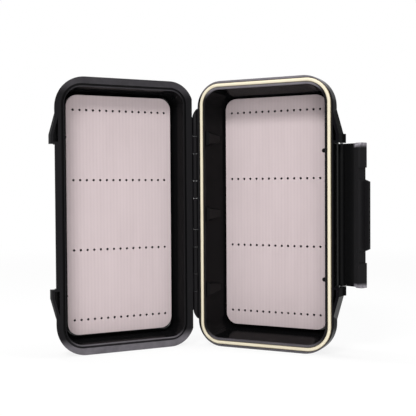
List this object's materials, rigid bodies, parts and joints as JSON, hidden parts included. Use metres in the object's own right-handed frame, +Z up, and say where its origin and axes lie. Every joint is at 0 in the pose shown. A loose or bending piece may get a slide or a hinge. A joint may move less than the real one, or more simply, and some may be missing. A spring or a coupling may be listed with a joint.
{
  "type": "fly box",
  "caption": "Open waterproof fly box with foam pads in base and lid, a cream rim seal, a pinned hinge and a long flip latch.",
  "frame": {"origin": "middle of the lower end face of the base's rim flange, on the ground that the case stands on", "axes": "+Z up along the hinge, the case standing on its short end; +X from the hinge to the latch across the base; the base's mouth faces -Y"},
  "size_m": [0.2065, 0.1192, 0.195],
  "materials": {
    "shell_plastic": "black moulded plastic, glossy inside and satin on the rims",
    "seal_rubber": "cream rubber, matte",
    "foam": "closed-cell foam, matte, with fine slits",
    "adhesive": "thin double-sided sheet",
    "pin_steel": "plain drawn rod",
    "latch_plastic": "black moulded plastic, satin"
  },
  "bodies": {
    "base": {"base_shell": "shell_plastic", "gasket": "seal_rubber", "base_foam": "foam", "base_foam_tape": "adhesive", "hinge_pin": "pin_steel", "latch_pin": "pin_steel"},
    "lid": {"lid_shell": "shell_plastic", "lid_foam": "foam", "lid_foam_tape": "adhesive"},
    "latch": {"latch": "latch_plastic"}
  },
  "joints": [
    {"name": "lid_hinge", "type": "hinge", "parent": "base", "child": "lid", "pos_m": [-0.05415, -0.0047, 0.0975], "axis": [0, 0, -1], "range_deg": [-127.9, 52.1]},
    {"name": "latch_hinge", "type": "hinge", "parent": "base", "child": "latch", "pos_m": [0.055, 0.0057, 0.0975], "axis": [0, 0, 1], "range_deg": [-67, 113]}
  ]
}
